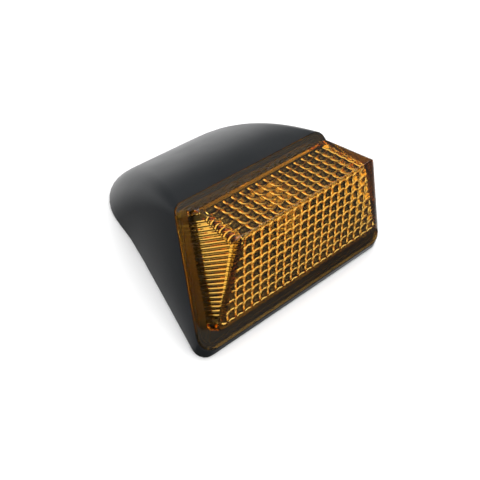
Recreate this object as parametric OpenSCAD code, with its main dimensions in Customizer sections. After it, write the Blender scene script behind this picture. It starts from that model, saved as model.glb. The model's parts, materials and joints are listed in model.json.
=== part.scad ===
/* [Hood] */
// Length of the hood along the surface it is mounted on
base_l = 106; // [90:1:130]
// Width across the front edge of the hood
front_w = 127; // [110:1:150]
// Width across the back edge of the hood
back_w = 92; // [80:1:110]
// How much wider the lens mouth is than the base, at the front edge
flare = 2.6; // [0:0.2:5]
// Width across the top of the lens mouth
top_w = 95.4; // [84:0.2:115]
// Slope of the lens mouth against the mounting face, in degrees
lens_tilt = 38.5; // [32:0.5:45]
// Length of the lens mouth up its slope
mouth_l = 66.3; // [58:0.1:72]
// Height of the lens face above the mounting face at the front edge
front_h = 4.6; // [4:0.1:8]
// Radius of the curve of the hood's back, seen from the side
hood_r = 92; // [85:1:160]
// How far the middle of the back is crowned
crown = 1.8; // [0:0.1:4]
// Corner radius at the two back corners of the base
back_r = 25; // [12:0.5:28]
// Corner radius at the two front corners of the base
front_r = 6; // [4:0.5:10]
// Corner radius at the two front corners of the mouth
mouth_r = 8; // [5:0.5:12]
// Where the taper of the sides ends, as a share of the base length
waist = 0.7; // [0.6:0.01:0.9]
// Wall of the hood
wall = 3; // [2.4:0.1:4]

/* [Lens] */
// Gap between the lens flange and the lip of the hood
lens_gap = 0.3; // [0.2:0.1:0.8]
// Width of the hood's lip at the sides and the top of the lens
lip = 0.6; // [0.5:0.1:2]
// Thickness of the lens flange
flange_t = 2.5; // [2:0.1:3.5]
// How far the flange stands proud of the lip
flange_proud = 0.8; // [0:0.1:1.2]
// Width of the flange below the raised body
foot_margin = 8; // [7:0.1:11]
// Width of the flange above the raised body
head_margin = 4.2; // [3:0.1:6]
// Width of the flange beside the raised body
side_margin = 5.9; // [5:0.1:8]
// Height of the raised body's straight foot at its back
step_back = 8; // [5:0.1:11]
// Height of the raised body's straight foot at its front
step_front = 7.1; // [5:0.1:11]
// Slope of the lens front against the flange, in degrees
face_tilt = 31.5; // [26:0.5:38]
// Wall of the raised body
lens_wall = 2.6; // [2.2:0.1:3.2]
// Corner radius of the lens flange
flange_r = 5; // [3:0.5:8]
// Corner radius of the raised body, seen from the front
body_r = 2.6; // [2:0.2:7]
// Pitch of the square prisms inside the lens
prism = 5; // [4:0.25:7]
// Depth of the grooves between the prisms
groove = 0.9; // [0.5:0.1:1.1]
// Pitch of the fine flutes on the end walls
flute = 1.5; // [1.2:0.1:2.5]

/* [Base] */
// Thickness of the base plate
plate_t = 2.5; // [2:0.1:3.5]
// Height of the plate's top above the mounting face
plate_z = 6; // [5.6:0.1:6.6]
// Thickness of the gasket round the plate
gasket_t = 1; // [0.6:0.1:1.6]
// Width of the step that the gasket seals on
land = 1.6; // [1.2:0.1:2.4]
// Distance between the two mounting holes
mount_pitch = 74; // [60:1:78]
// Distance of the mounting holes from the front edge
mount_y = 52; // [46:1:62]
// Radius of the thread in the mounting inserts
thread_r = 2.5; // [2:0.25:3]
// Outer radius of the mounting inserts
insert_r = 3.6; // [3.3:0.1:4.2]
// Length of the mounting inserts
insert_l = 7; // [5:0.5:7.5]

/* [Bulb and socket] */
// Distance of the bulb's axis from the front edge
bulb_y = 34; // [33:0.5:38]
// Largest radius of the bulb's glass
glass_r = 9.5; // [8:0.25:10]
// Radius of the bulb's metal cap
cap_r = 7.5; // [7.5:0.1:7.7]
// Length of the bulb's metal cap
cap_l = 15; // [14:0.5:16]
// Length of the whole bulb
bulb_l = 35; // [33:0.5:36]
// Running gap between moulded pieces that pass through each other
gap = 0.2; // [0.1:0.05:0.3]

/* [Hidden] */
$fn = 64;
big = 400;

// The rim of the hood lies a little below the outer face of the flange. All cross sections of
// the hood fan out from the hinge line where the plane of the rim meets the mounting face.
rim_drop = flange_proud / cos(lens_tilt);
rim_z = front_h - rim_drop;
hinge_y = -rim_z / tan(lens_tilt);

// The recess for the flange starts here, so that the hood keeps only a thin lip in front of it
recess_y0 = -0.1;
side_gap = lip + lens_gap;
flange_y0 = recess_y0 + lens_gap;
body_y0 = flange_y0 + foot_margin;

// The highest point of the rim, and the centre of the back's curve through it and the heel
rim_top = [mouth_l * cos(lens_tilt), rim_z + mouth_l * sin(lens_tilt)];
heel = [base_l, 0];
chord = heel - rim_top;
chord_l = norm(chord);
chord_n = [-chord[1], chord[0]] / chord_l;
curve_c = (heel + rim_top) / 2 - chord_n * sqrt(hood_r * hood_r - chord_l * chord_l / 4);

flange_y1 = mouth_l - side_gap;
body_y1 = flange_y1 - head_margin;

// The two faces of the raised body meet at a right angle in the ridge
rise = tan(face_tilt);
ridge_y = (step_back - step_front + body_y0 * rise + body_y1 / rise) / (rise + 1 / rise);
ridge_z = step_front + (ridge_y - body_y0) * rise;
front_face_l = (ridge_y - body_y0) / cos(face_tilt);
upper_face_l = (body_y1 - ridge_y) / sin(face_tilt);

// First groove below the ridge on the front face and behind it on the upper face, and the
// plain strip that the grooves leave at the end walls
front_row = 1.85;
upper_row = 5.1;
plain_edge = 0.9;

// Ledge under the flange, and the groove in it for the sealing cord
ledge_t = 2.2;
seal_h = 1.2;
seal_in = 1.3;
seal_w = 1.8;

// Seal under the hood's rim, and the solid toe behind the front edge
seat_t = 1.2;
toe_l = 8.8;

// Boss of the base plate round each mounting insert
insert_wall = 2.4;
insert_cap = 2;

// Reach of a cut past the surface that it opens, and the clearance round pressed-in metal
over = 1;
press = 0.05;

// Screws that hold the base plate, with the bosses they enter in the hood
screw_r = 1.6;
screw_l = 7;
boss_r = 3.6;
rib_t = 2.4;
screw_head_h = 1.8;
screw_front = 24;
screw_at = [screw_front, heel_at(plate_z + gasket_t) + land - back_r];
function screw_x(y) = side_at(y, plate_z) - wall - boss_r;

// Well round the socket
well_r = 15;
well_z = 11;

// Twist-lock socket
socket_z = 3.5;
socket_floor = 2;
socket_top = 25;
flange_z = 5.5;
socket_flange_r = 14;
socket_flange_t = 2;
neck_r = 11.8;
lug_at = [0, 120, 240];
lug_w = 6;
lug_out = 1.8;
lug_h = 2;
lug_turn = 45;
grip_h = 1.6;
grip_in = 4.5;
grip_w = 2.4;
sleeve_r = 8.15;
sleeve_t = 0.45;
tube_r = sleeve_r + 2;

// Blades 6.3 wide and 0.8 thick, for push-on connectors
blade_w = 6.3;
blade_t = 0.8;
blade_z = 1.8;
blade_in = 4.1;
blade_end = 19;
earth_top = 16;

// Bulb and its contacts
disc_z = 9.2;
disc_t = 1.2;
rivet_r = 1.6;
tip_h = 0.8;
cap_z = 11.8;
pin_r = 1;
pin_out = 8.5;
pin_z = cap_z + 6.8;
pin_turn = 2.4;
slot_gap = 0.2;
slot_h = 2.4;
cap_t = 0.4;
glass_t = 0.8;
light_z = cap_z + 24;

// Glass stem inside the bulb, the two leads on it and the wire between them
stem_r = 2.6;
stem_z = cap_z + cap_l + 3;
lead_r = 0.3;
lead_x0 = 1.2;
lead_x1 = 3;
wire_r = 0.6;

function lerp(a, b, k) = a + (b - a) * k;
function soft_ramp(x, e) = (x + sqrt(x * x + e * e)) / 2;

// Distance from the hinge line to the front edge and to the back of the hood, in section k,
// where k runs from 0 on the mounting face to 1 on the rim
function tilt(k) = lens_tilt * k;
function front_u(k) = -hinge_y / cos(tilt(k));
function back_u(k) = let(
        d = [cos(tilt(k)), sin(tilt(k))],
        c = curve_c - [hinge_y, 0],
        m = d * c)
    m + sqrt(m * m - c * c + hood_r * hood_r);

// Half the width of the hood in section k, at the distance u from the hinge line
function half_w(k, u) = let(
        s = (u - front_u(k)) / (back_u(k) - front_u(k)),
        w = lerp(back_w, top_w, k) / 2)
    w + ((front_w + flare * k) / 2 - w) * soft_ramp(1 - s / lerp(waist, 1, k), 0.12 * (1 - k));
function lean(k, u) = atan((half_w(k, u - 0.5) - half_w(k, u + 0.5)));

// Half the width of the hood over the point y of the mounting face, at the height z
function side_at(y, z) = let(u = norm([y - hinge_y, z]))
    half_w(atan2(z, y - hinge_y) / lens_tilt, u);

// Distance of the hood's back from the front edge, at the height z
function heel_at(z) = curve_c[0] + sqrt(hood_r * hood_r - pow(z - curve_c[1], 2));

// Right half of the rounded outline of section k, from the front to the back
corner_n = 5;
side_n = 7;
heel_n = 9;
function half_ring(k, inset) = let(
        u0 = front_u(k) + inset,
        u1 = back_u(k) - inset,
        rf = max(lerp(front_r, mouth_r, k) - inset, 1),
        rb = max(lerp(back_r, flange_r + side_gap, k) - inset, 1),
        uf = u0 + rf,
        ub = u1 - rb,
        af = lean(k, uf),
        ab = lean(k, ub),
        vf = half_w(k, uf) - inset / cos(af) - rf / cos(af),
        vb = half_w(k, ub) - inset / cos(ab) - rb / cos(ab),
        sf = uf + rf * sin(af),
        sb = ub + rb * sin(ab))
    concat(
        [for (i = [0:corner_n]) let(t = lerp(-90, af, i / corner_n)) [vf + rf * cos(t), uf + rf * sin(t)]],
        [for (i = [1:side_n - 1]) let(u = lerp(sf, sb, i / side_n))
            [half_w(k, u) - inset / cos(lean(k, u)), u]],
        [for (i = [0:heel_n]) let(t = lerp(ab, 90, i / heel_n)) [vb + rb * cos(t), ub + rb * sin(t)]],
        [for (i = [1:3]) [vb * (1 - i / 4), u1]]);

function bow(k, v, u) = let(s = (u - front_u(k)) / (back_u(k) - front_u(k)))
    u - crown * 4 * k * (1 - k) * pow(2 * v / front_w, 2) * pow(max(s, 0), 3);
function in_space(k, p) = let(u = bow(k, p[0], p[1]))
    [p[0], hinge_y + u * cos(tilt(k)), u * sin(tilt(k))];
function ring(k, inset) = let(h = half_ring(k, inset), n = len(h)) concat(
    [for (p = h) in_space(k, p)],
    [in_space(k, [0, h[n - 1][1]])],
    [for (i = [n - 1:-1:0]) in_space(k, [-h[i][0], h[i][1]])]);

// A closed skin over a list of rings that all have the same number of points
module skin(rings) {
    n = len(rings[0]);
    m = len(rings);
    polyhedron(
        points = [for (r = rings) for (p = r) p],
        faces = concat(
            [[for (i = [0:n - 1]) i]],
            [for (j = [0:m - 2]) for (i = [0:n - 1]) let(a = j * n + i, b = j * n + (i + 1) % n)
                each [[a, a + n, b], [b, a + n, b + n]]],
            [[for (i = [n - 1:-1:0]) (m - 1) * n + i]]));
}

// The skin runs a little past the mounting face and the rim, where flat cuts end the hood
hood_steps = 14;
past = 0.01;
module hood_form(inset) {
    skin([for (j = [0:hood_steps]) ring(lerp(-past, 1 + past, j / hood_steps), inset)]);
}

// Moves to the outer face of the flange: x across, y up the lens, z outwards
module on_lens() {
    translate([0, 0, front_h]) rotate([lens_tilt, 0, 0]) children();
}

// The space on the inner side of a plane that lies depth below the outer face of the flange
module below_lens(depth) {
    on_lens() translate([-big / 2, -big / 2, -depth - big]) cube(big);
}

// The space above the height z
module above(z) {
    translate([-big / 2, -big / 2, z]) cube(big);
}

// Symmetric outline with straight leaning sides and four round corners, of radius r0 at y0 and
// r1 at y1
corner_steps = 8;
module rounded_taper(y0, y1, w0, w1, r0, r1) {
    a = atan((w0 - w1) / (y1 - y0));
    function centre_x(y, r) = w0 + (w1 - w0) * (y - y0) / (y1 - y0) - r / cos(a);
    function corner(y, r, start, end) = [for (i = [0:corner_steps])
        let(t = lerp(start, end, i / corner_steps)) [centre_x(y, r) + r * cos(t), y + r * sin(t)]];
    right = concat(corner(y0 + r0, r0, -90, a), corner(y1 - r1, r1, a, 90));
    n = len(right);
    polygon(concat(right, [for (i = [n - 1:-1:0]) [-right[i][0], right[i][1]]]));
}

// Half the width of the hood's rim at the height y of the lens
function rim_half(y) = lerp(front_w + flare, top_w, y / mouth_l) / 2;

module flange_outline(inset) {
    y0 = flange_y0 + inset;
    y1 = flange_y1 - inset;
    side = side_gap + inset;
    r0 = max(mouth_r - side, 1.5);
    r1 = max(flange_r - inset, 1.5);
    rounded_taper(y0, y1, rim_half(y0) - side, rim_half(y1) - side, r0, r1);
}

module body_outline(inset) {
    y0 = body_y0 + inset;
    y1 = body_y1 - inset;
    side = side_gap + side_margin + inset;
    r = max(body_r - inset, 0.6);
    rounded_taper(y0, y1, rim_half(y0) - side, rim_half(y1) - side, r, r);
}

// The wedge of the raised body, seen from the side and extruded across the lens
module wedge(inset, low) {
    down_front = inset / cos(face_tilt);
    down_back = inset / sin(face_tilt);
    ridge = [ridge_y + inset * (sin(face_tilt) - cos(face_tilt)),
        ridge_z - inset * (sin(face_tilt) + cos(face_tilt))];
    rotate([90, 0, 90]) translate([0, 0, -big / 2]) linear_extrude(big)
        polygon([[body_y0, low], [body_y0, step_front - down_front], ridge,
            [body_y1, step_back - down_back], [body_y1, low]]);
}

// The hollow's end walls carry fine flutes that run out of the mould
module hollow_outline(inset) {
    y0 = body_y0 + inset;
    y1 = body_y1 - inset;
    side = side_gap + side_margin + inset;
    n = floor((y1 - y0 - 2 * body_r) / flute);
    start = (y0 + y1 - n * flute) / 2;
    difference() {
        body_outline(inset);
        for (s = [-1, 1], i = [0:n - 1]) let(y = start + (i + 0.5) * flute)
            translate([s * (rim_half(y) - side), y]) circle(d = flute * 0.9, $fn = 8);
    }
}

// A groove with a straight V section along x, its mouth at z = 0
module vee(length) {
    rotate([90, 0, 90]) translate([0, 0, -length / 2]) linear_extrude(length)
        polygon([[-groove, -0.3], [-groove, 0], [0, groove], [groove, 0], [groove, -0.3]]);
}

// Crossed grooves that leave square prisms on an inner face. The ridge lies at y = 0 and the face
// runs along y. The first groove beside the ridge lies at the distance first from it.
module prism_grid(face_l, first) {
    rows = floor((face_l - first) / prism);
    columns = ceil(front_w / prism / 2);
    for (j = [0:rows]) translate([0, first + j * prism, 0]) vee(front_w);
    for (i = [-columns:columns]) translate([i * prism, face_l / 2, 0])
        rotate([0, 0, 90]) vee(face_l * 1.2);
}

module lens_grooves() {
    intersection() {
        union() {
            translate([0, ridge_y, ridge_z]) rotate([-face_tilt, 0, 180])
                translate([0, 0, -lens_wall]) prism_grid(front_face_l, front_row);
            translate([0, ridge_y, ridge_z]) rotate([face_tilt - 90, 0, 0])
                translate([0, 0, -lens_wall]) prism_grid(upper_face_l, upper_row);
        }
        linear_extrude(big / 2) body_outline(lens_wall + plain_edge);
        wedge(lens_wall - groove - 0.1, 0);
    }
}

module lens() {
    color([0.95, 0.52, 0.05, 0.8]) on_lens() difference() {
        union() {
            translate([0, 0, -flange_t]) linear_extrude(flange_t) flange_outline(0);
            intersection() {
                translate([0, 0, -flange_t]) linear_extrude(big / 2) body_outline(0);
                wedge(0, -flange_t);
            }
        }
        intersection() {
            translate([0, 0, -flange_t - 1]) linear_extrude(big / 2) hollow_outline(lens_wall);
            wedge(lens_wall, -flange_t - 1);
        }
        lens_grooves();
    }
}

// The groove in the ledge and the cord that fills it
module seal_ring(inset_out, inset_in, height) {
    linear_extrude(height) difference() {
        flange_outline(inset_out);
        flange_outline(inset_in);
    }
}

module lens_seal() {
    color([0.08, 0.08, 0.08]) on_lens() translate([0, 0, -flange_t - seal_h])
        seal_ring(seal_in + gap, seal_in + seal_w - gap, seal_h);
}

// Outline of the base plate's recess in the hood, made smaller all round by clear
outline_steps = 20;
front_turn = 10;
module plate_outline(clear) {
    z = plate_z + gasket_t;
    y0 = toe_l + clear;
    y1 = heel_at(z) - wall + land - clear;
    r0 = front_r;
    r1 = back_r - wall;
    ya = y0 + r0;
    yb = y1 - r1;
    function x(y) = side_at(y, z) - wall + land - clear;
    function corner(y, r, start, end, steps) = [for (i = [0:steps])
        let(t = lerp(start, end, i / steps)) [x(y) - r + r * cos(t), y + r * sin(t)]];
    right = concat(
        corner(ya, r0, -90, front_turn, 5),
        [for (i = [1:outline_steps - 1]) let(y = lerp(ya, yb, i / outline_steps)) [x(y), y]],
        corner(yb, r1, 0, 90, corner_steps));
    n = len(right);
    polygon(concat(right, [for (i = [n - 1:-1:0]) [-right[i][0], right[i][1]]]));
}

module at_screws() {
    for (m = [0, 1], y = screw_at) mirror([m, 0, 0]) translate([screw_x(y), y, 0]) children();
}

module at_mounts() {
    for (s = [-1, 1]) translate([s * mount_pitch / 2, mount_y, 0]) children();
}

module hood() {
    color([0.13, 0.14, 0.15]) difference() {
        union() {
            difference() {
                intersection() {
                    hood_form(0);
                    above(0);
                    below_lens(flange_proud);
                }
                intersection() {
                    hood_form(wall);
                    above(plate_z + gasket_t);
                    below_lens(flange_t + ledge_t);
                }
            }
            intersection() {
                at_screws() translate([0, 0, plate_z]) {
                    cylinder(r = boss_r, h = big / 4);
                    translate([0, -rib_t / 2, gasket_t]) cube([boss_r + wall, rib_t, big / 4]);
                }
                hood_form(wall / 2);
                below_lens(flange_t + ledge_t / 2);
            }
        }
        difference() {
            translate([0, 0, -over]) linear_extrude(plate_z + gasket_t + over) plate_outline(0);
            at_screws() translate([0, 0, plate_z]) cylinder(r = boss_r, h = gasket_t + over);
        }
        on_lens() {
            translate([0, 0, -flange_t - ledge_t - over]) linear_extrude(big / 4) body_outline(1);
            translate([0, 0, -flange_t]) linear_extrude(big / 4) flange_outline(-lens_gap);
            translate([0, 0, -flange_t - seal_h])
                seal_ring(seal_in, seal_in + seal_w, seal_h + over);
        }
        at_screws() translate([0, 0, plate_z - over]) cylinder(r = screw_r, h = screw_l + over);
    }
}

module base_gasket() {
    color([0.06, 0.06, 0.06]) translate([0, 0, plate_z]) linear_extrude(gasket_t) difference() {
        plate_outline(gap);
        plate_outline(land - gap);
    }
}

module base_plate() {
    under = plate_z - plate_t;
    color([0.2, 0.2, 0.21]) difference() {
        union() {
            translate([0, 0, under]) linear_extrude(plate_t) plate_outline(gap);
            translate([0, bulb_y, under]) cylinder(r = well_r + plate_t, h = well_z - under);
            at_mounts() cylinder(r = insert_r + insert_wall, h = insert_l + insert_cap);
        }
        translate([0, bulb_y, -over]) {
            cylinder(r = well_r, h = well_z - plate_t + over);
            cylinder(r = neck_r + gap, h = well_z + 2 * over);
        }
        translate([0, bulb_y, well_z - plate_t - over]) for (a = lug_at)
            rotate([0, 0, a + lug_turn]) translate([0, -lug_w / 2 - gap, 0])
                cube([neck_r + lug_out + 2 * gap, lug_w + 2 * gap, plate_t + 2 * over]);
        at_mounts() translate([0, 0, -over]) cylinder(r = insert_r, h = insert_l + over);
        at_screws() translate([0, 0, -over]) cylinder(r = screw_r + gap, h = plate_z + 2 * over);
    }
}

// A self-tapping screw with a round head, its head's seat at z = 0 and its point along +z
module screw(r, head_r, head_h, length) {
    translate([0, 0, -head_h]) difference() {
        union() {
            cylinder(r1 = head_r * 0.8, r2 = head_r, h = head_h * 0.5);
            translate([0, 0, head_h * 0.5]) cylinder(r = head_r, h = head_h * 0.5);
        }
        for (a = [0, 90]) rotate([0, 0, a]) translate([-head_r * 0.5, -head_r * 0.12, -over])
            cube([head_r, head_r * 0.24, head_h * 0.45 + over]);
    }
    cylinder(r = r, h = length - r);
    translate([0, 0, length - r]) cylinder(r1 = r, r2 = r * 0.3, h = r);
}

module base_screws() {
    color([0.7, 0.7, 0.72]) at_screws() translate([0, 0, plate_z - plate_t])
        screw(screw_r, screw_r * 2, screw_head_h, screw_l + plate_t - 0.5);
}

module mounting_seal() {
    color([0.05, 0.05, 0.05]) translate([0, 0, -seat_t]) linear_extrude(seat_t) difference() {
        polygon([for (p = ring(0, 0.4)) [p[0], p[1]]]);
        plate_outline(0);
    }
}

module threaded_inserts() {
    color([0.78, 0.62, 0.28]) at_mounts() difference() {
        cylinder(r = insert_r, h = insert_l);
        translate([0, 0, -over]) cylinder(r = thread_r, h = insert_l + 2 * over);
    }
}

module socket_body() {
    grip_l = socket_flange_r - 1 - grip_in;
    slot_r = pin_r + 0.3;
    low = socket_z - 5;
    color([0.9, 0.9, 0.86]) translate([0, bulb_y, 0]) difference() {
        union() {
            translate([0, 0, socket_z]) cylinder(r = tube_r, h = socket_top - socket_z);
            translate([0, 0, flange_z]) cylinder(r = socket_flange_r, h = socket_flange_t);
            translate([0, 0, flange_z]) cylinder(r = neck_r, h = well_z - flange_z + lug_h);
            for (a = lug_at) rotate([0, 0, a]) translate([0, -lug_w / 2, well_z + gap])
                cube([neck_r + lug_out, lug_w, lug_h - gap]);
            for (y = [grip_in, -grip_in - grip_l]) translate([-grip_w / 2, y, socket_z - grip_h])
                cube([grip_w, grip_l, flange_z - socket_z + grip_h + 0.5]);
        }
        translate([0, 0, socket_z + socket_floor]) cylinder(r = sleeve_r + press, h = big);
        for (a = [0, 180]) rotate([0, 0, a]) translate([-slot_r, 0, pin_z - slot_h])
            cube([pin_turn + 2 * slot_r, pin_out + 0.5, big]);
        translate([blade_in - press, -blade_w / 2 - press, low])
            cube([blade_t + 2 * press, blade_w + 2 * press, socket_floor + 6]);
        translate([-sleeve_r - blade_t - 2 * press, -blade_w / 2 - press, low])
            cube([blade_t + 0.3, blade_w + 2 * press, earth_top + 2 * press - low]);
        translate([-neck_r, -blade_w / 2 - press, low])
            cube([neck_r - sleeve_r, blade_w + 2 * press, blade_z + blade_t - low]);
    }
}

module socket_seal() {
    z0 = flange_z + socket_flange_t;
    color([0.1, 0.1, 0.1]) translate([0, bulb_y, z0]) difference() {
        cylinder(r = socket_flange_r - gap, h = well_z - plate_t - z0);
        translate([0, 0, -over]) cylinder(r = neck_r + 0.1, h = well_z);
    }
}

// The metal shell that takes the two pins of the bulb in its hooked slots
module bayonet_sleeve() {
    z0 = socket_z + socket_floor;
    slot_w = 2 * (pin_r + slot_gap);
    color([0.75, 0.74, 0.7]) translate([0, bulb_y, 0]) difference() {
        translate([0, 0, z0]) cylinder(r = sleeve_r, h = socket_top - z0);
        translate([0, 0, z0 - over]) cylinder(r = sleeve_r - sleeve_t, h = big);
        for (a = [0, 180]) rotate([0, 0, a]) translate([-pin_r - slot_gap, 0, pin_z - slot_h + slot_gap]) {
            translate([pin_turn, 0, 0]) cube([slot_w, big, big]);
            cube([pin_turn + pin_r, big, slot_h]);
            cube([slot_w, big, slot_h + pin_r]);
        }
    }
}

// Strip pressed into two bends: a pad under the spring, a leg through the floor, and the blade
module supply_terminal() {
    z0 = socket_z + socket_floor;
    color([0.8, 0.7, 0.45]) translate([0, bulb_y + blade_w / 2, 0]) rotate([90, 0, 0])
        linear_extrude(blade_w) polygon([
            [-4, z0], [blade_in, z0], [blade_in, blade_z], [blade_end, blade_z],
            [blade_end, blade_z + blade_t], [blade_in + blade_t, blade_z + blade_t],
            [blade_in + blade_t, z0 + blade_t], [-4, z0 + blade_t]]);
}

module earth_terminal() {
    x1 = -sleeve_r - press;
    color([0.8, 0.7, 0.45]) translate([0, bulb_y + blade_w / 2, 0]) rotate([90, 0, 0])
        linear_extrude(blade_w) polygon([
            [x1, earth_top], [x1 - blade_t, earth_top], [x1 - blade_t, blade_z + blade_t],
            [-blade_end, blade_z + blade_t], [-blade_end, blade_z], [x1, blade_z]]);
}

module contact_disc() {
    color([0.35, 0.22, 0.12]) translate([0, bulb_y, disc_z]) difference() {
        cylinder(r = sleeve_r - sleeve_t - gap, h = disc_t);
        translate([0, 0, -over]) cylinder(r = rivet_r, h = disc_t + 2 * over);
    }
}

module centre_contact() {
    color([0.82, 0.68, 0.35]) translate([0, bulb_y, 0]) {
        translate([0, 0, disc_z]) cylinder(r = rivet_r - 0.02, h = disc_t);
        translate([0, 0, disc_z + disc_t])
            cylinder(r = rivet_r * 1.6, h = cap_z - tip_h - disc_z - disc_t);
        translate([0, 0, disc_z - 0.6]) cylinder(r = rivet_r * 1.5, h = 0.6);
    }
}

// A round wire wound into a helix about z, from height z0 to z1
function coil(r, wire, z0, z1, turns, steps) = [for (j = [0:turns * steps]) let(
        a = 360 * j / steps,
        z = lerp(z0, z1, j / (turns * steps)))
    [for (i = [0:5]) let(b = 60 * i) [
        (r + wire * cos(b)) * cos(a), (r + wire * cos(b)) * sin(a), z + wire * sin(b)]]];

module contact_spring() {
    wire = 0.35;
    z0 = socket_z + socket_floor + blade_t + wire + 0.01;
    color([0.6, 0.6, 0.62]) translate([0, bulb_y, 0])
        skin(coil(3.6, wire, z0, disc_z - wire - 0.01, 3, 16));
}

module bulb_cap() {
    color([0.8, 0.78, 0.7]) translate([0, bulb_y, cap_z]) {
        difference() {
            cylinder(r = cap_r, h = cap_l);
            translate([0, 0, 1.5]) cylinder(r = cap_r - cap_t, h = cap_l);
        }
        for (a = [90, 270]) rotate([0, 0, a]) translate([cap_r - 0.2, 0, pin_z - cap_z])
            rotate([0, 90, 0]) cylinder(r = pin_r, h = pin_out - cap_r + 0.2);
    }
}

module bulb_tip() {
    color([0.6, 0.6, 0.6]) translate([0, bulb_y, cap_z - tip_h]) cylinder(r1 = 1.9, r2 = 2.6, h = tip_h);
}

// The pear shape of the glass, drawn from its neck, which reaches down into the cap, to its crown
neck_in = 3;
function pear(r, top) = let(
        c = top - r,
        n = cap_r - cap_t - press - (glass_r - r),
        z = cap_z + cap_l)
    concat(
        [[n, z - neck_in], [n, z + 0.8]],
        [for (i = [1:6]) let(t = i / 7) [lerp(n, r, (1 - cos(180 * t)) / 2), lerp(z + 0.8, c, t)]],
        [for (i = [0:10]) let(t = 9 * i) [r * cos(t), c + r * sin(t)]]);

module bulb_glass() {
    top = cap_z + bulb_l;
    inner = pear(glass_r - glass_t, top - glass_t);
    last = len(inner) - 1;
    color([0.95, 0.7, 0.3, 0.5]) translate([0, bulb_y, 0]) rotate_extrude() polygon(concat(
        [[0, cap_z + cap_l - neck_in]],
        pear(glass_r, top),
        [for (i = [last:-1:2]) inner[i]],
        [[stem_r, stem_z], [0, stem_z]]));
}

// Two leads that lean apart and stand on the glass stem, with the close-wound wire between them
// drawn as one rod
module filament() {
    lead_h = light_z - stem_z;
    lead_lean = atan((lead_x1 - lead_x0) / lead_h);
    color([0.5, 0.5, 0.5]) translate([0, bulb_y, 0]) {
        for (s = [-1, 1]) translate([s * lead_x0, 0, stem_z + lead_r * sin(lead_lean)])
            rotate([0, s * lead_lean, 0])
                cylinder(r = lead_r, h = lead_h / cos(lead_lean), $fn = 16);
        translate([-lead_x1 - lead_r, 0, light_z]) rotate([0, 90, 0])
            cylinder(r = wire_r, h = 2 * (lead_x1 + lead_r), $fn = 24);
    }
}

// The frame's origin is the centre of the mounting face, on the underside of the mounting seal
module placed() {
    translate([0, -base_l / 2, seat_t]) children();
}

placed() hood();
placed() lens();
placed() lens_seal();
placed() base_plate();
placed() base_gasket();
placed() base_screws();
placed() mounting_seal();
placed() threaded_inserts();
placed() socket_body();
placed() socket_seal();
placed() bayonet_sleeve();
placed() contact_disc();
placed() contact_spring();
placed() centre_contact();
placed() supply_terminal();
placed() earth_terminal();
placed() bulb_glass();
placed() bulb_cap();
placed() bulb_tip();
placed() filament();
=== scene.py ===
# %% [markdown]
# # A vehicle indicator lamp
# The lamp has a black hood with a sloping mouth, and an amber lens that closes it. Its solid
# pieces come from the part's own model, which is loaded here and never moved. This lesson gives
# each of them its finish, and rebuilds the one piece that light passes through, the lens.

import json
import math

import bmesh
import bpy
from mathutils import Matrix, Vector


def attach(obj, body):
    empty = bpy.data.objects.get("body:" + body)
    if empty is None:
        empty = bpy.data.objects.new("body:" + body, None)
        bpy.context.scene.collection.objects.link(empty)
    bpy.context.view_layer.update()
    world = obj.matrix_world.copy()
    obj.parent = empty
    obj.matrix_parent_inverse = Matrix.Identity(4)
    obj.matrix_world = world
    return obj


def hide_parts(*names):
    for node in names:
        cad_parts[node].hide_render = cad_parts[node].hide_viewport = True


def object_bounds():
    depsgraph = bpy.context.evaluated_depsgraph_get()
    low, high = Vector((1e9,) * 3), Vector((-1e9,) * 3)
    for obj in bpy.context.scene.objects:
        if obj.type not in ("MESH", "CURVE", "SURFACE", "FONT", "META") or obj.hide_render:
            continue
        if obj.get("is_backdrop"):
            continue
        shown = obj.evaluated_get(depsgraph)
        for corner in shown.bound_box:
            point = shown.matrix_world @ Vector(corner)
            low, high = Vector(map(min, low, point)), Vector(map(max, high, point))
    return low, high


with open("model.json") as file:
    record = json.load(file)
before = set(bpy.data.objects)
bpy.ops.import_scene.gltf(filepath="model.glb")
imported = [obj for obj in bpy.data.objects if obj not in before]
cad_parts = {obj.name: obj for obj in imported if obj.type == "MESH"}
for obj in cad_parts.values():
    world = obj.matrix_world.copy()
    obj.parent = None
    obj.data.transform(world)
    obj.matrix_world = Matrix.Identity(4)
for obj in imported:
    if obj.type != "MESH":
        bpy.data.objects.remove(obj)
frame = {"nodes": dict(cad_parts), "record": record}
cad_box = [list(corner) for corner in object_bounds()]
nodes = frame["nodes"]
print("pieces loaded:", len(nodes))
print("size in mm:", [round(1000 * (hi - lo), 1) for lo, hi in zip(*cad_box)])

# %% [markdown]
# ## Working in millimetres
# The scene counts in metres, but a lamp is drawn in millimetres. One named factor keeps every size
# below as it would stand on the drawing. The lens also has a frame of its own: x across, y up the
# sloping mouth, z straight out of it. A matrix takes that frame to the lamp's, and it is the only
# place where the slope of the mouth is turned into numbers.

# %% The lens frame
MM = 0.001
LENS_SLOPE = math.radians(38.5)
FRONT_HEIGHT = 4.6
HOOD_LENGTH = 106.0
SEAL_THICKNESS = 1.2
to_lamp = (
    Matrix.Translation(Vector((0, -HOOD_LENGTH / 2, FRONT_HEIGHT + SEAL_THICKNESS)) * MM)
    @ Matrix.Rotation(LENS_SLOPE, 4, "X")
    @ Matrix.Scale(MM, 4)
)
print("origin of the lens frame, mm:", [round(1000 * v, 2) for v in to_lamp.translation])

# %% [markdown]
# ## Sizes of the lens
# The lens is one moulding: a flat flange, a straight foot on it, and a wedge whose two faces meet
# in a right-angled ridge. All its widths follow the mouth of the hood, which narrows upwards, so
# each outline below asks one function how wide the mouth is at that height.

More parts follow.
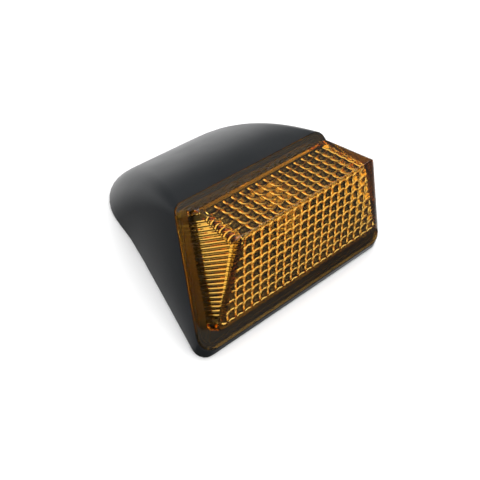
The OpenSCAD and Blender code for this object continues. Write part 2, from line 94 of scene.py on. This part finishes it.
# %% Measure the flange, the foot and the wedge
MOUTH_LENGTH = 66.3
MOUTH_WIDE, MOUTH_NARROW = 129.6, 95.4
FLANGE = dict(low=0.2, high=65.4, side=0.9, low_radius=7.1, high_radius=5.0)
BODY = dict(low=8.2, high=61.2, side=6.8, low_radius=2.6, high_radius=2.6)
FLANGE_THICK = 2.5
FOOT_FRONT, FOOT_BACK = 7.1, 8.0
FACE_SLOPE = math.radians(31.5)

rise = math.tan(FACE_SLOPE)
ridge_y = (FOOT_BACK - FOOT_FRONT + BODY["low"] * rise + BODY["high"] / rise) / (rise + 1 / rise)
ridge_z = FOOT_FRONT + (ridge_y - BODY["low"]) * rise


def mouth_half(y):
    """Half the width of the mouth at the height y."""
    return (MOUTH_WIDE + (MOUTH_NARROW - MOUTH_WIDE) * y / MOUTH_LENGTH) / 2


print("ridge at y %.1f, z %.1f mm" % (ridge_y, ridge_z))
print("half width at the ridge: %.1f mm" % (mouth_half(ridge_y) - BODY["side"]))

# %% [markdown]
# The flange, the wedge and its hollow all have the same kind of outline: two leaning sides with a
# round in each corner. Drawing a quarter circle as a formula keeps every corner smooth and lets a
# radius change later. The flutes will need extra points along the sides, so those can be asked for.

# %% Draw a tapered outline
def tapered_outline(low, high, side, low_radius, high_radius, steps=8, stops=()):
    """Closed outline, up the right side and down the left, with a point at each of the stops."""
    wide, narrow = mouth_half(low) - side, mouth_half(high) - side
    lean = math.atan((wide - narrow) / (high - low))

    def side_x(y):
        return wide + (narrow - wide) * (y - low) / (high - low)

    def corner(y, radius, start, end):
        centre = side_x(y) - radius / math.cos(lean)
        for i in range(steps + 1):
            turn = start + (end - start) * i / steps
            yield centre + radius * math.cos(turn), y + radius * math.sin(turn)

    right = list(corner(low + low_radius, low_radius, -math.pi / 2, lean))
    right += [(side_x(y), y) for y in stops]
    right += list(corner(high - high_radius, high_radius, lean, math.pi / 2))
    return right + [(-x, y) for x, y in reversed(right)]


body_outline = tapered_outline(**BODY)
flange_outline = tapered_outline(**FLANGE)
print("points in the outlines:", len(body_outline), len(flange_outline))

# %% [markdown]
# ## Solids, cut and joined
# The mould of such a lens is cut from steel, solid by solid, and the lens can be made the same way.
# One helper turns two outlines into a prism. Another combines two solids with a boolean, whose
# exact solver leaves a closed mesh. Placing every face by hand would compute faster, but where
# pillows, flutes and rounds meet there are thousands of odd little faces, and a boolean finds them.

# %% Helpers that make and combine solids
RIM_STEPS = 4


def add_loop(bm, outline, height):
    return [bm.verts.new((x, y, height)) for x, y in outline]


def bridge(bm, lower, upper):
    """Quads between two loops that have the same number of points."""
    count = len(lower)
    for i in range(count):
        after = (i + 1) % count
        bm.faces.new((lower[i], lower[after], upper[after], upper[i]))


def new_piece(name, bm):
    """Turns a bmesh into an object, its normals facing out."""
    bmesh.ops.recalc_face_normals(bm, faces=bm.faces)
    mesh = bpy.data.meshes.new(name)
    bm.to_mesh(mesh)
    bm.free()
    piece = bpy.data.objects.new(name, mesh)
    bpy.context.scene.collection.objects.link(piece)
    return piece


def prism(name, low_outline, low, high_outline, high, rim_round=0.0):
    """A solid between two outlines, at the heights low and high."""
    bm = bmesh.new()
    bottom, top = add_loop(bm, low_outline, low), add_loop(bm, high_outline, high)
    bm.faces.new(reversed(bottom))
    bm.faces.new(top)
    bridge(bm, bottom, top)
    if rim_round:
        rim = [edge for edge in bm.edges if set(edge.verts) <= set(top)]
        bmesh.ops.bevel(bm, geom=rim, offset=rim_round, segments=RIM_STEPS, profile=0.5, affect="EDGES")
    return new_piece(name, bm)


def combine(piece, other, operation):
    """Applies a boolean of piece with other, and removes other."""
    step = piece.modifiers.new(operation.lower(), "BOOLEAN")
    step.operation = operation
    step.object = other
    step.solver = "EXACT"
    depsgraph = bpy.context.evaluated_depsgraph_get()
    made = bpy.data.meshes.new_from_object(piece.evaluated_get(depsgraph))
    piece.modifiers.clear()
    piece.data = made
    bpy.data.objects.remove(other)


print("an outline becomes a prism with", len(body_outline) + 2, "faces")

# %% [markdown]
# ## The two faces of the lens
# Seen from the end, each face is a straight line from the ridge down to the foot. So a face is
# described by four things: the direction along that line, the direction out of it, its length, and
# how far from the ridge the first valley between its prisms lies.

# %% Describe the front and the upper face
FRONT_FIRST_VALLEY = 1.85
UPPER_FIRST_VALLEY = 5.1
cosine, sine = math.cos(FACE_SLOPE), math.sin(FACE_SLOPE)
FRONT = dict(
    along=(-cosine, -sine),
    out=(-sine, cosine),
    first=FRONT_FIRST_VALLEY,
    length=(ridge_y - BODY["low"]) / cosine,
)
UPPER = dict(
    along=(sine, -cosine),
    out=(cosine, sine),
    first=UPPER_FIRST_VALLEY,
    length=(BODY["high"] - ridge_y) / sine,
)
print("lens faces, mm: front %.1f, upper %.1f" % (FRONT["length"], UPPER["length"]))

# %% [markdown]
# A block fills the space behind one face. Its top is a grid of points, and each point is sunk by a
# depth of its own, so a rounded edge or a field of pillows is only a formula for that depth. The
# same helper then makes both the polished outside and the patterned inside. The wedge is what two
# such blocks have in common.

# %% A block behind one face
BLOCK_THICK = 80.0
OVERRUN = 12.0


def rim_of(grid):
    """The points round the edge of a grid, in order."""
    last_column = [row[-1] for row in grid[1:]]
    first_column = [row[0] for row in grid[-2:0:-1]]
    return grid[0] + last_column + grid[-1][-2::-1] + first_column


def face_block(name, face, rows, columns, depth):
    """The solid behind a lens face, with its top sunk by depth(face, x, y, s) at each point."""
    bm = bmesh.new()
    (along_y, along_z), (out_y, out_z) = face["along"], face["out"]
    top, base = [], []
    for s in rows:
        y, z = ridge_y + s * along_y, ridge_z + s * along_z
        sunk = [(x, depth(face, x, y, s)) for x in columns(y)]
        top.append([bm.verts.new((x, y - d * out_y, z - d * out_z)) for x, d in sunk])
        base.append([bm.verts.new((x, y - BLOCK_THICK * out_y, z - BLOCK_THICK * out_z)) for x, _ in sunk])
    for grid in (top, base):
        for row, after in zip(grid, grid[1:]):
            for i in range(len(row) - 1):
                bm.faces.new((row[i], row[i + 1], after[i + 1], after[i]))
    bridge(bm, rim_of(base), rim_of(top))
    return new_piece(name, bm)


def even_rows(face, step):
    """Rows at an even step from beyond the ridge to beyond the foot, with one on each valley."""
    low, high = -OVERRUN - face["first"], face["length"] + OVERRUN - face["first"]
    return [face["first"] + step * i for i in range(math.ceil(low / step), int(high / step) + 1)]


print("blocks reach %.0f mm past the ridge and the foot" % OVERRUN)

# %% [markdown]
# ## The outer skin of the lens
# The outside is polished, with soft edges. Where a face comes near an end wall it falls away in a
# round, wide at the ridge and narrow at the foot, and the ridge itself gets rounder towards its
# ends. Together they give the lens its ball-shaped corners. A Bevel modifier would keep one width
# along an edge, while a formula can let the round taper.

# %% Shape the rounds
ROUND_AT_RIDGE, ROUND_AT_FOOT = 3.4, 1.4
RIDGE_ROUND = 0.5
BALL_ROUND, BALL_REACH = 2.4, 6.0


def fall(gap, radius):
    """How far a round of that radius has fallen away, at the distance gap from the wall."""
    reach = radius - min(max(gap, 0.0), radius)
    return radius - math.sqrt(radius * radius - reach * reach)


def end_gap(x, y, wall=0.0):
    """Distance from the outer end wall, or from a wall that lies that far inside it."""
    return mouth_half(y) - BODY["side"] - wall - abs(x)


def towards_foot(face, s, at_ridge, at_foot):
    """A size that changes evenly from the ridge of a face to its foot."""
    share = min(max(s / face["length"], 0.0), 1.0)
    return at_ridge + (at_foot - at_ridge) * share


def upper_skin(face, x, y, s):
    return fall(end_gap(x, y), towards_foot(face, s, ROUND_AT_RIDGE, ROUND_AT_FOOT))


def front_skin(face, x, y, s):
    """The front face carries the round of the ridge as well."""
    near_end = 1.0 - min(max(end_gap(x, y), 0.0) / BALL_REACH, 1.0)
    ridge_round = RIDGE_ROUND + (BALL_ROUND - RIDGE_ROUND) * near_end
    return upper_skin(face, x, y, s) + fall(s, ridge_round)


corner_fall = front_skin(FRONT, mouth_half(ridge_y), ridge_y, 0.0)
print("the front face falls away by %.1f mm at the ridge's end" % corner_fall)

# %% [markdown]
# A round needs its points close together where it is steep, at the wall, and hardly any where it
# is flat. So the columns of the grid are named by their gap to the end wall and the rows by their
# distance from the ridge, both in growing steps. The first column lies far outside the wall, for
# the wedge gets wider than the ridge towards the front.

# %% Build the outer skin
OUTSIDE = 25.0
GAPS = (-OUTSIDE, 0.0, 0.05, 0.15, 0.3, 0.5, 0.8, 1.2, 1.7, 2.3, 2.9, 3.4, 4.6, 6.0)
NEAR_RIDGE = (0.0, 0.03, 0.1, 0.22, 0.4, 0.65, 1.0, 1.4, 1.9, 2.4)
UPPER_STEP = 2.5
RIM_ROUND = 0.5
ABOVE_RIDGE = 5.0


def skin_columns(y):
    half = mouth_half(y) - BODY["side"]
    return [gap - half for gap in GAPS] + [half - gap for gap in reversed(GAPS)]


front_rows = (-OVERRUN, *NEAR_RIDGE, FRONT["length"] + OVERRUN)
upper_rows = even_rows(UPPER, UPPER_STEP)
body = prism("body", body_outline, -FLANGE_THICK / 2, body_outline, ridge_z + ABOVE_RIDGE)
combine(body, face_block("front face", FRONT, front_rows, skin_columns, front_skin), "INTERSECT")
combine(body, face_block("upper face", UPPER, upper_rows, skin_columns, upper_skin), "INTERSECT")
lens = prism("lens_moulding", flange_outline, -FLANGE_THICK, flange_outline, 0.0, RIM_ROUND)
combine(lens, body, "UNION")
print("outer skin:", len(lens.data.polygons), "faces")

# %% [markdown]
# ## The core that shapes the inside
# In the mould a steel core forms the hollow of the lens. Square pillows are cut in the core, and
# they spread the lamp's light. Each lens face gets a block again, this time with the pillows on
# top. Its grid is fine and has a row on each valley, because a clear piece shows every ragged
# valley. A bump map would cost less, but it leaves the wall flat, with no slopes for the light to
# bounce between, and those bounces are what makes the ribs shine.

# %% Build the core
WALL = 2.6
END_WALL = 1.4
END_DRAFT = math.radians(9)
PILLOW = 5.0
PILLOW_DEPTH = 2.2
PILLOW_STEPS = 8
CORNER_AT_RIDGE, CORNER_AT_FOOT = 2.0, 1.0
CORE_HALF = 60.0


def pillow_depth(across, along):
    """How far a pillow sinks the core: nothing where valleys cross, the full depth in its middle."""
    u = across / PILLOW - math.floor(across / PILLOW) - 0.5
    v = along / PILLOW - math.floor(along / PILLOW) - 0.5
    return PILLOW_DEPTH * (1 - 2 * u * u - 2 * v * v)


def core_columns(y):
    """The same columns at every height, so that the valleys run straight down."""
    count = int(CORE_HALF / PILLOW * PILLOW_STEPS)
    return [PILLOW / PILLOW_STEPS * i for i in range(-count, count + 1)]


def core_depth(face, x, y, s):
    z = ridge_z + s * face["along"][1]
    wall = END_WALL + max(z + FLANGE_THICK, 0.0) * math.tan(END_DRAFT)
    corner = fall(end_gap(x, y, wall), towards_foot(face, s, CORNER_AT_RIDGE, CORNER_AT_FOOT))
    return WALL - PILLOW_DEPTH + pillow_depth(x, s - face["first"]) + corner


def core_block(name, face):
    return face_block(name, face, even_rows(face, PILLOW / PILLOW_STEPS), core_columns, core_depth)


core = core_block("core", FRONT)
combine(core, core_block("core face", UPPER), "INTERSECT")
print("core: %d faces, thinnest wall %.1f mm" % (len(core.data.polygons), WALL - PILLOW_DEPTH))

# %% [markdown]
# ## Flutes in the end walls
# The end walls carry fine flutes that run along the pull of the mould, so the core can slide out.
# They are a row of small dips in the core's outline, which is then extruded. The walls also lean
# inwards, which is the draft of the moulding, and the flutes lean with them. Of the angles and
# depths that were rendered, these made the end walls shine most like the real ones.

# %% Flute the core and take it out of the lens
FLUTE = 1.9
FLUTE_DEPTH = 0.9
FLUTE_STEPS = 8
FLUTE_CREST = 1.3
CORE_CORNER = 1.4
CORE_CORNER_STEPS = 5
BELOW_FLANGE = 1.0


def fluted_outline():
    """Outline of the core, with a row of dips along each leaning side."""
    low, high = BODY["low"] + WALL, BODY["high"] - WALL
    count = int((high - low - 2 * BODY["low_radius"]) / FLUTE)
    start = (low + high - count * FLUTE) / 2
    stops = [start + FLUTE * k / FLUTE_STEPS for k in range(count * FLUTE_STEPS + 1)]
    side = BODY["side"] + END_WALL
    waved = []
    for x, y in tapered_outline(low, high, side, CORE_CORNER, CORE_CORNER, CORE_CORNER_STEPS, stops):
        off_crest = abs(2 * ((y - start) / FLUTE % 1.0) - 1)
        wave = FLUTE_DEPTH * (1 - off_crest**FLUTE_CREST) if start < y < start + count * FLUTE else 0.0
        waved.append((x - math.copysign(wave, x), y))
    return waved


outline = fluted_outline()
bottom, top = -FLANGE_THICK - BELOW_FLANGE, ridge_z + ABOVE_RIDGE
draft = (top - bottom) * math.tan(END_DRAFT)
leaned = [(x - math.copysign(draft, x), y) for x, y in outline]
combine(core, prism("core outline", outline, bottom, leaned, top), "INTERSECT")
combine(lens, core, "DIFFERENCE")
lens.data.transform(to_lamp)
print("points in the fluted outline:", len(outline))

# %% [markdown]
# ## Shading the lens
# The rounds and pillows are made of small flat facets. Smooth shading hides them, but it would also
# blur the real edges, so every edge steeper than an angle stays sharp. The same pass counts the
# open edges: a clear piece has to be closed, or its light leaks out.

# %% Shade smooth up to an angle
SHARP = math.radians(24)


def shade_by_angle(piece, angle):
    """Smooth shading with steep edges kept sharp. Gives back the number of open edges."""
    bm = bmesh.new()
    bm.from_mesh(piece.data)
    for face in bm.faces:
        face.smooth = True
    for edge in bm.edges:
        edge.smooth = len(edge.link_faces) == 2 and edge.calc_face_angle(0.0) < angle
    open_edges = sum(1 for edge in bm.edges if len(edge.link_faces) != 2)
    bm.to_mesh(piece.data)
    bm.free()
    return open_edges


print("lens: %d faces, %d open edges" % (len(lens.data.polygons), shade_by_angle(lens, SHARP)))

# %% [markdown]
# Smooth shading averages the normals where faces meet. Beside a narrow round, that would bend the
# light over the whole of a big flat face, and a clear piece shows it at once. The Weighted Normal
# modifier lets the larger face decide, so the flats stay flat and only the rounds are curved. The
# lens then takes the place of the plain one from the part's model.

# %% Keep the flat faces of the lens flat
flats = lens.modifiers.new("keep flats flat", "WEIGHTED_NORMAL")
flats.mode = "FACE_AREA"
flats.weight = 100
flats.keep_sharp = True
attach(lens, "root")
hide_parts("lens")
print("modifiers of the lens:", [modifier.name for modifier in lens.modifiers])

# %% [markdown]
# ## Smooth shading for the other pieces
# The loaded pieces are meshes of small flat facets. Their form is right, so it stays, and two
# modifiers only change how light reads it: the first joins the doubled points at the facets' edges,
# and the second shades smooth across every edge that is nearly flat.

# %% A modifier that shades smooth up to an angle
JOIN_DISTANCE = 2e-6
SOFT_EDGE = math.radians(22)


def smooth_tree():
    tree = bpy.data.node_groups.new("smooth up to an angle", "GeometryNodeTree")
    tree.interface.new_socket("Geometry", in_out="INPUT", socket_type="NodeSocketGeometry")
    tree.interface.new_socket("Geometry", in_out="OUTPUT", socket_type="NodeSocketGeometry")
    add, link = tree.nodes.new, tree.links.new
    start, end = add("NodeGroupInput"), add("NodeGroupOutput")
    faces, edges = add("GeometryNodeSetShadeSmooth"), add("GeometryNodeSetShadeSmooth")
    faces.domain, edges.domain = "FACE", "EDGE"
    angle, steep = add("GeometryNodeInputMeshEdgeAngle"), add("FunctionNodeCompare")
    steep.operation = "GREATER_THAN"
    steep.inputs[1].default_value = SOFT_EDGE
    edges.inputs["Shade Smooth"].default_value = False
    link(start.outputs[0], faces.inputs["Geometry"])
    link(faces.outputs["Geometry"], edges.inputs["Geometry"])
    link(angle.outputs["Unsigned Angle"], steep.inputs[0])
    link(steep.outputs[0], edges.inputs["Selection"])
    link(edges.outputs["Geometry"], end.inputs[0])
    return tree


soft_shading = smooth_tree()
for piece in nodes.values():
    join = piece.modifiers.new("join facets", "WELD")
    join.merge_threshold = JOIN_DISTANCE
    soften = piece.modifiers.new("soften", "NODES")
    soften.node_group = soft_shading
print("softened:", len(nodes), "pieces")

# %% [markdown]
# ## Materials
# Each finish is one function that starts from the same small helper. The colour, the roughness and
# the bump of a real moulding are never quite even, so noises of a fixed real size drive them.
# Values that are the same all over stay on the shader's own sockets.

# %% Helpers for every finish
NOISE_RANGE = (0.3, 0.7)
BUMP_STRENGTH = 0.4


def new_finish(name, **values):
    """A material with a Principled shader, whose plain values go straight on its sockets."""
    finish = bpy.data.materials.new(name)
    finish.use_nodes = True
    shader = finish.node_tree.nodes["Principled BSDF"]
    for socket, value in values.items():
        shader.inputs[socket.replace("_", " ")].default_value = value
    return finish, shader


def grain(finish, scale, detail=4.0):
    """Noise in the object's own metres, so its grain has a real size."""
    tree = finish.node_tree
    place = tree.nodes.new("ShaderNodeTexCoord")
    noise = tree.nodes.new("ShaderNodeTexNoise")
    noise.inputs["Scale"].default_value = scale
    noise.inputs["Detail"].default_value = detail
    tree.links.new(place.outputs["Object"], noise.inputs["Vector"])
    return noise


def map_range(tree, source, start, end):
    """Takes a value from the range start to the range end."""
    step = tree.nodes.new("ShaderNodeMapRange")
    step.inputs["From Min"].default_value, step.inputs["From Max"].default_value = start
    step.inputs["To Min"].default_value, step.inputs["To Max"].default_value = end
    tree.links.new(source, step.inputs["Value"])
    return step.outputs["Result"]


def vary_roughness(finish, shader, noise, low, high):
    rough = map_range(finish.node_tree, noise.outputs["Fac"], NOISE_RANGE, (low, high))
    finish.node_tree.links.new(rough, shader.inputs["Roughness"])


def add_bump(finish, shader, noise, depth):
    bump = finish.node_tree.nodes.new("ShaderNodeBump")
    bump.inputs["Strength"].default_value = BUMP_STRENGTH
    bump.inputs["Distance"].default_value = depth
    finish.node_tree.links.new(noise.outputs["Fac"], bump.inputs["Height"])
    finish.node_tree.links.new(bump.outputs["Normal"], shader.inputs["Normal"])


def tint(finish, shader, noise, dark, light):
    """Lets the colour drift a little between two tones."""
    mix = finish.node_tree.nodes.new("ShaderNodeMix")
    mix.data_type = "RGBA"
    mix.inputs["A"].default_value = (*dark, 1)
    mix.inputs["B"].default_value = (*light, 1)
    finish.node_tree.links.new(noise.outputs["Fac"], mix.inputs["Factor"])
    finish.node_tree.links.new(mix.outputs["Result"], shader.inputs["Base Color"])


# %% [markdown]
# ### Plastics and rubber
# The hood is black plastic with a satin finish: its grain is finer than half a millimetre, and its
# roughness is what makes the sheen on its back so wide and soft. The base plate and the socket
# are plainer mouldings, and the seals are rubber, which is rougher still.

# %% Make the plastics and the rubber
PLASTIC_GRAIN, PLASTIC_BUMP = 2600.0, 0.00002
RUBBER_GRAIN, RUBBER_BUMP = 1400.0, 0.00004
PATCHES = 60.0


def moulded(name, dark, light, rough, grain_scale=PLASTIC_GRAIN, depth=PLASTIC_BUMP):
    finish, shader = new_finish(name, IOR=1.5, Specular_IOR_Level=0.35)
    fine, broad = grain(finish, grain_scale), grain(finish, PATCHES, 2.0)
    tint(finish, shader, broad, dark, light)
    vary_roughness(finish, shader, broad, rough - 0.03, rough + 0.03)
    add_bump(finish, shader, fine, depth)
    return finish


RUBBER_TONES = (0.012, 0.012, 0.012), (0.018, 0.018, 0.018)
finishes = {
    "hood_plastic": moulded("hood plastic", (0.006, 0.008, 0.010), (0.009, 0.011, 0.013), 0.34),
    "base_plastic": moulded("base plastic", (0.018, 0.019, 0.02), (0.024, 0.025, 0.026), 0.55),
    "socket_plastic": moulded("socket plastic", (0.012, 0.012, 0.012), (0.018, 0.018, 0.017), 0.5),
    "black_rubber": moulded("black rubber", *RUBBER_TONES, 0.8, RUBBER_GRAIN, RUBBER_BUMP),
    "disc_board": moulded("laminate board", (0.16, 0.08, 0.035), (0.22, 0.12, 0.055), 0.6),
}
print("moulded finishes:", sorted(finishes))

# %% [markdown]
# ### Metals
# The bulb, its socket, the screws and the blades are small and mostly hidden, so one kind of metal
# serves them all: turned or drawn metal differs from piece to piece in tone and in roughness.

# %% Make the metals
METAL_GRAIN, METAL_BUMP = 900.0, 0.00001


def metal(name, dark, light, rough):
    finish, shader = new_finish(name, Metallic=1.0)
    fine = grain(finish, METAL_GRAIN)
    tint(finish, shader, fine, dark, light)
    vary_roughness(finish, shader, fine, rough - 0.06, rough + 0.06)
    add_bump(finish, shader, fine, METAL_BUMP)
    return finish


metals = {
    "brass": metal("turned brass", (0.62, 0.42, 0.16), (0.75, 0.55, 0.25), 0.3),
    "zinc_steel": metal("zinc plate", (0.5, 0.51, 0.54), (0.66, 0.67, 0.68), 0.35),
    "sleeve_metal": metal("nickel plate", (0.55, 0.52, 0.45), (0.66, 0.63, 0.56), 0.28),
    "cap_metal": metal("nickelled brass", (0.55, 0.5, 0.38), (0.66, 0.61, 0.5), 0.25),
    "spring_steel": metal("spring wire", (0.35, 0.35, 0.36), (0.48, 0.48, 0.49), 0.35),
    "solder": metal("solder", (0.4, 0.4, 0.4), (0.52, 0.52, 0.51), 0.5),
    "tungsten": metal("drawn wire", (0.18, 0.18, 0.19), (0.28, 0.28, 0.29), 0.4),
}
finishes.update(metals)
print("metal finishes:", sorted(metals))

# %% [markdown]
# ### Amber and glass
# Clear plastic is coloured through its whole depth. Absorption inside the volume gives that: thin
# walls look golden, and thick corners deep orange. The walls here are so thin that the volume alone
# would leave them pale, so each passage through the skin adds a tint of its own.

# %% Make the clear finishes
AMBER_SKIN = (0.99, 0.67, 0.20)
AMBER_DENSITY = 80.0
AMBER_COLOUR = (0.96, 0.72, 0.0)
POLISH_PATCHES = 240.0


def clear(name, ior, rough, skin=(1, 1, 1)):
    finish, shader = new_finish(
        name, IOR=ior, Transmission_Weight=1.0, Base_Color=(*skin, 1), Specular_IOR_Level=0.2
    )
    vary_roughness(finish, shader, grain(finish, POLISH_PATCHES, 2.0), rough, rough + 0.02)
    return finish


def colour_through(finish, colour, density):
    """Absorption along the light's way through the piece."""
    tree = finish.node_tree
    volume = tree.nodes.new("ShaderNodeVolumeAbsorption")
    volume.inputs["Color"].default_value = (*colour, 1)
    volume.inputs["Density"].default_value = density
    tree.links.new(volume.outputs["Volume"], tree.nodes["Material Output"].inputs["Volume"])


finishes["amber_lens"] = clear("amber plastic", 1.49, 0.01, AMBER_SKIN)
colour_through(finishes["amber_lens"], AMBER_COLOUR, AMBER_DENSITY)
finishes["bulb_glass"] = clear("bulb glass", 1.5, 0.0)
print("clear finishes: amber_lens, bulb_glass")

# %% [markdown]
# The part's own record says which finish each piece wears. Reading it from there keeps this lesson
# and the part in step, and a piece that is added later can't be forgotten.

# %% Put the finishes on
def wear(piece, finish):
    piece.data.materials.clear()
    piece.data.materials.append(finish)


for row in frame["record"]["subparts"]:
    wear(nodes[row["node"]], finishes[row["material_slot"]])
wear(lens, finishes["amber_lens"])

# %% [markdown]
# ## The floor
# The lamp stands on a plain pale sheet, wide enough that the camera doesn't see its edge. The ribs
# and flutes of the lens throw the eye's ray back down onto this sheet, and its white is what makes
# them glow. Mirrored in the outside of the lamp, though, it would lay a grey veil over the front
# face and the side of the hood. So it is hidden from mirror reflections, and from nothing else.

# %% Lay the floor
FLOOR_SIZE = 8.0
bpy.ops.mesh.primitive_plane_add(size=FLOOR_SIZE)
floor = bpy.context.object
floor.name = "floor"
floor_finish, floor_shader = new_finish("pale floor", Roughness=0.9)
tint(floor_finish, floor_shader, grain(floor_finish, 3.0), (0.88, 0.88, 0.88), (0.9, 0.9, 0.9))
floor.data.materials.append(floor_finish)
floor.visible_glossy = False
floor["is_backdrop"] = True
print("floor:", FLOOR_SIZE, "m wide")

# %% [markdown]
# ## A light tent
# What the outside mirrors in place of the sheet is the world, used here as a light tent. Above the
# horizon it brightens towards the top. Below the horizon its near side is dim, which keeps the
# front face clear and the side of the hood black. Its far side is bright, and the hood's back
# mirrors that as a wide pale sheen. A photographed studio would serve too, but a few numbers are
# easier to steer.

# %% Build the tent
SKY_FROM, SKY_TO = 0.4, 0.95
SKY_LOW, SKY_HIGH = 0.2, 2.4
HORIZON = (-0.02, 0.02)
BELOW_NEAR, BELOW_FAR = 0.1, 1.3
FAR_SIDE = (0.7, 0.7, 0.0)
FAR_REACH = (0.0, 0.6)
scene = bpy.context.scene
scene.view_settings.view_transform = "Standard"


def light_tent():
    """A sky that brightens towards the top. Below the horizon only its far side is bright."""
    world = bpy.data.worlds.new("light tent")
    world.use_nodes = True
    tree = world.node_tree
    place = tree.nodes.new("ShaderNodeTexCoord")
    axes = tree.nodes.new("ShaderNodeSeparateXYZ")
    towards = tree.nodes.new("ShaderNodeVectorMath")
    choose = tree.nodes.new("ShaderNodeMix")
    background = tree.nodes["Background"]
    towards.operation = "DOT_PRODUCT"
    towards.inputs[1].default_value = FAR_SIDE
    tree.links.new(place.outputs["Generated"], axes.inputs[0])
    tree.links.new(place.outputs["Generated"], towards.inputs[0])
    height = axes.outputs["Z"]
    below = map_range(tree, towards.outputs["Value"], FAR_REACH, (BELOW_NEAR, BELOW_FAR))
    above = map_range(tree, height, (SKY_FROM, SKY_TO), (SKY_LOW, SKY_HIGH))
    tree.links.new(map_range(tree, height, HORIZON, (0.0, 1.0)), choose.inputs["Factor"])
    tree.links.new(below, choose.inputs["A"])
    tree.links.new(above, choose.inputs["B"])
    tree.links.new(choose.outputs["Result"], background.inputs["Strength"])
    background.inputs["Color"].default_value = (1, 1, 1, 1)
    return world


scene.world = light_tent()
print("world:", scene.world.name)

# %% [markdown]
# One large softbox hangs overhead. It hardly shows on the lamp itself, but it lights the sheet
# around it. A ray crosses many surfaces on its way through the lens, and inside a rib it turns
# round more than once. With the usual number of bounces it would end too early, and the thick
# edges of the lens would go black, so more are allowed.

# %% Hang the softbox and allow more bounces
SOFTBOX_PLACE = Vector((0.1, 0.1, 1.2))
SOFTBOX_SIZE = 1.0
SOFTBOX_POWER = 2.0
LAMP_MIDDLE = Vector((0, 0, 0.03))
light = bpy.data.lights.new("overhead softbox", "AREA")
light.size = SOFTBOX_SIZE
light.energy = SOFTBOX_POWER
softbox = bpy.data.objects.new("overhead softbox", light)
softbox.location = SOFTBOX_PLACE
softbox.rotation_euler = (LAMP_MIDDLE - SOFTBOX_PLACE).to_track_quat("-Z", "Y").to_euler()
scene.collection.objects.link(softbox)
scene.cycles.max_bounces = 32
scene.cycles.glossy_bounces = 24
scene.cycles.transmission_bounces = 32

# %% [markdown]
# ## The camera
# The camera's place was measured from the photograph's own perspective, so it is given as it was
# found: where it stands, which way it looks and which way is up in the picture.

# %% Place the camera
CAMERA_PLACE = Vector((-0.2315, -0.1473, 0.3202))
CAMERA_LOOKS = Vector((0.55275, 0.32610, -0.76690))
CAMERA_UP = Vector((0.42236, 0.68369, 0.59513))
FILM_WIDTH = 36.0
FOCAL_LENGTH = 62.65
camera_data = bpy.data.cameras.new("camera")
camera_data.sensor_width = FILM_WIDTH
camera_data.lens = FOCAL_LENGTH
camera = bpy.data.objects.new("camera", camera_data)
right = CAMERA_LOOKS.cross(CAMERA_UP).normalized()
up = right.cross(CAMERA_LOOKS).normalized()
turned = Matrix((right, up, -CAMERA_LOOKS.normalized())).transposed().to_4x4()
camera.matrix_world = Matrix.Translation(CAMERA_PLACE) @ turned
scene.collection.objects.link(camera)
scene.camera = camera
print("camera distance: %.2f m" % CAMERA_PLACE.length)

# %% [markdown]
# ## The size at the end
# The finished model's box is measured once more, and the print gives how far it reaches past the part's
# own box on each side. The finished model may not grow past the part's own box.

# %% Print how far the model reaches past the part's box
made_box = [list(corner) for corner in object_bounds()]
below, above = zip(cad_box[0], made_box[0]), zip(made_box[1], cad_box[1])
print("grown by, mm:", [round(1000 * (a - b), 3) for a, b in (*below, *above)])
